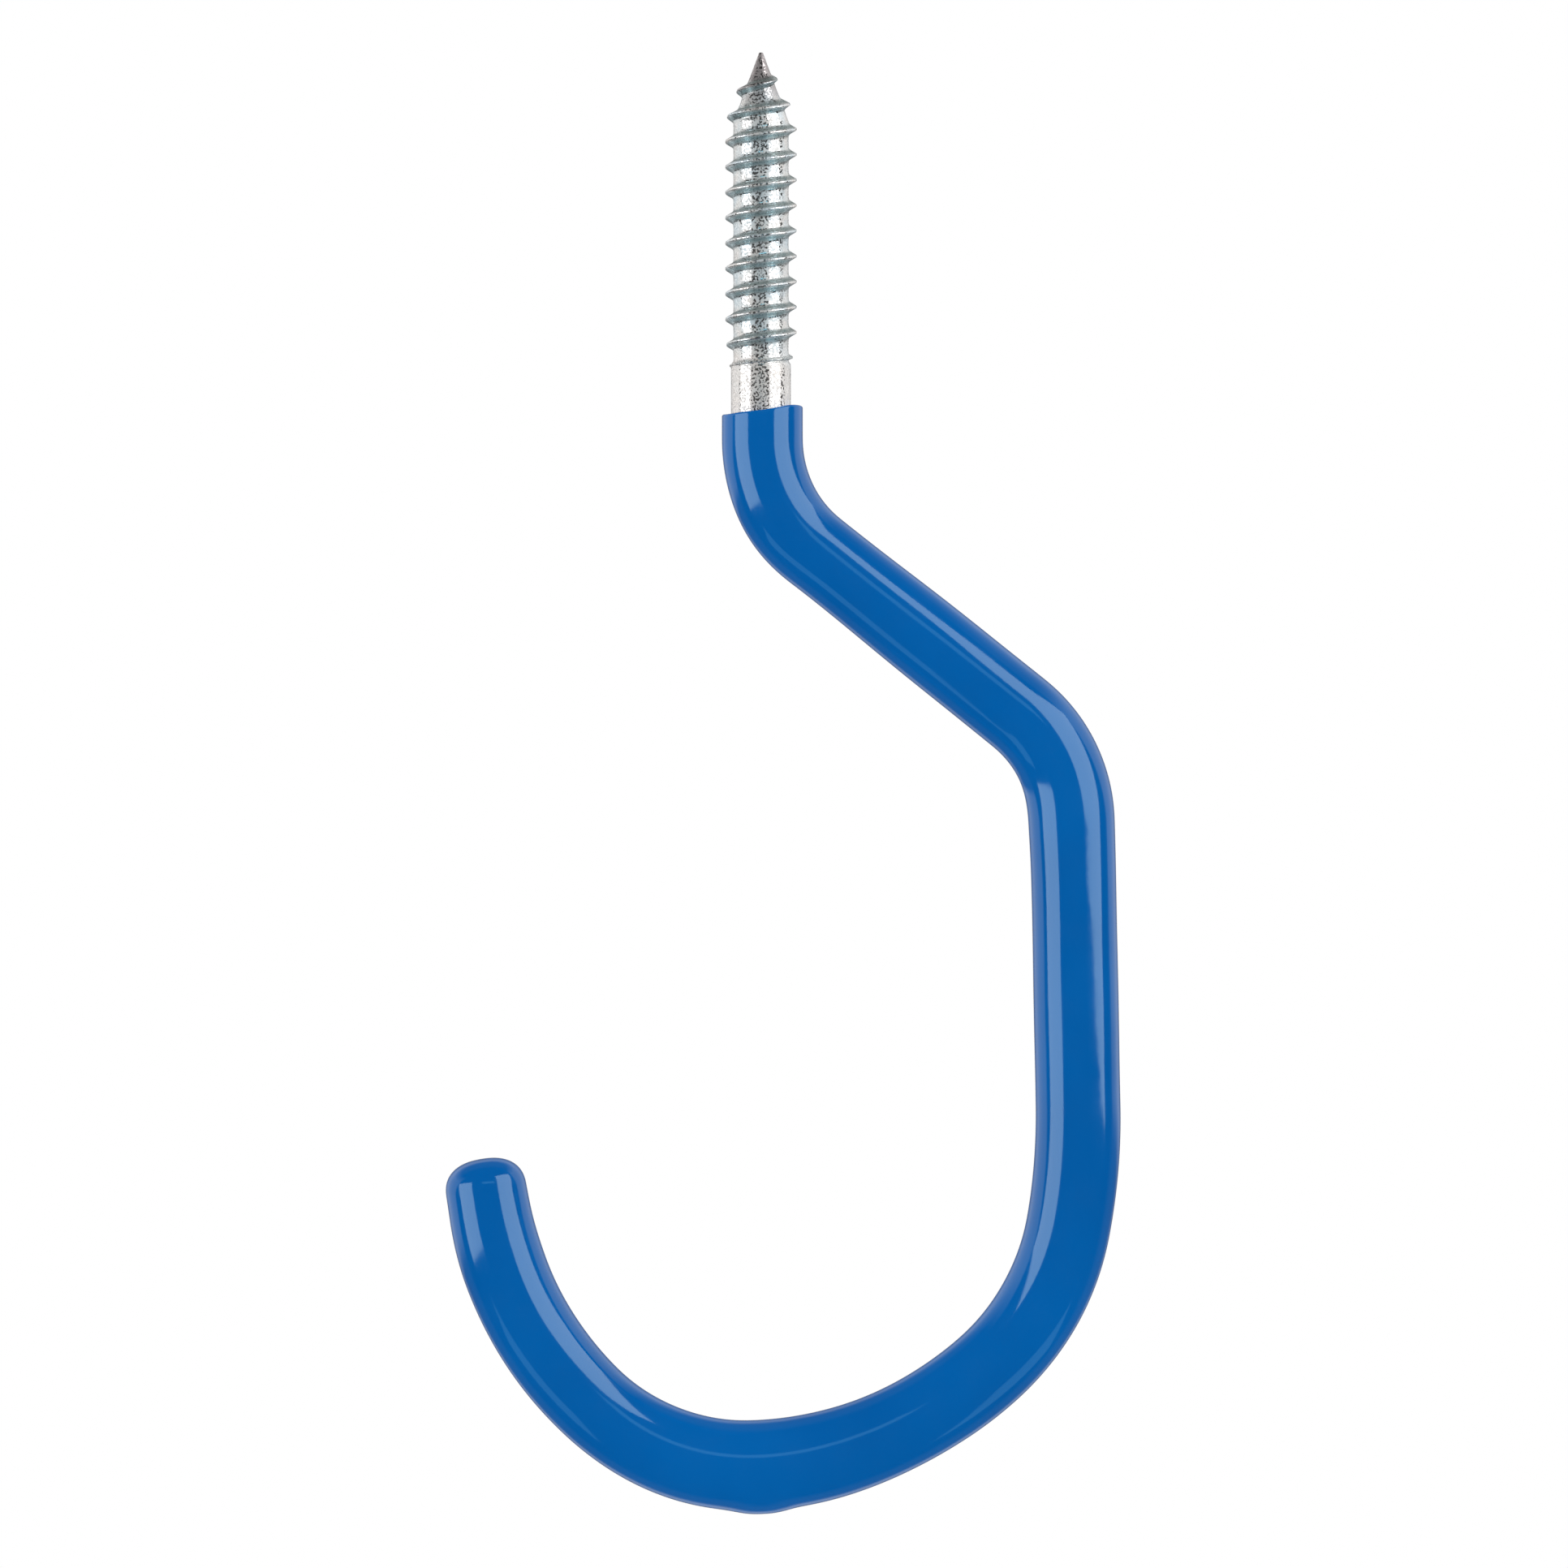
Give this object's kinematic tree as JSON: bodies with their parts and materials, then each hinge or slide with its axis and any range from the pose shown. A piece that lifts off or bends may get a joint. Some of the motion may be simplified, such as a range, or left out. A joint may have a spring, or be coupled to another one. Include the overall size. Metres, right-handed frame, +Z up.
{
  "type": "screw-in utility hook",
  "caption": "Round steel rod with a pointed lag thread, bent to one side and into an open J under a dipped vinyl skin; screws into a beam to hang tools and hoses.",
  "frame": {"origin": "on the screw's axis where the thread ends and the plain shank begins", "axes": "+Z up the screw to its point, +X to the side on which the limb is offset, +Y through the plane of the hook"},
  "size_m": [0.0751, 0.0102, 0.1626],
  "materials": {
    "zinc_plate": "satin",
    "blue_vinyl": "gloss"
  },
  "bodies": {
    "root": {"steel_rod": "zinc_plate", "vinyl_coat": "blue_vinyl"}
  },
  "joints": []
}
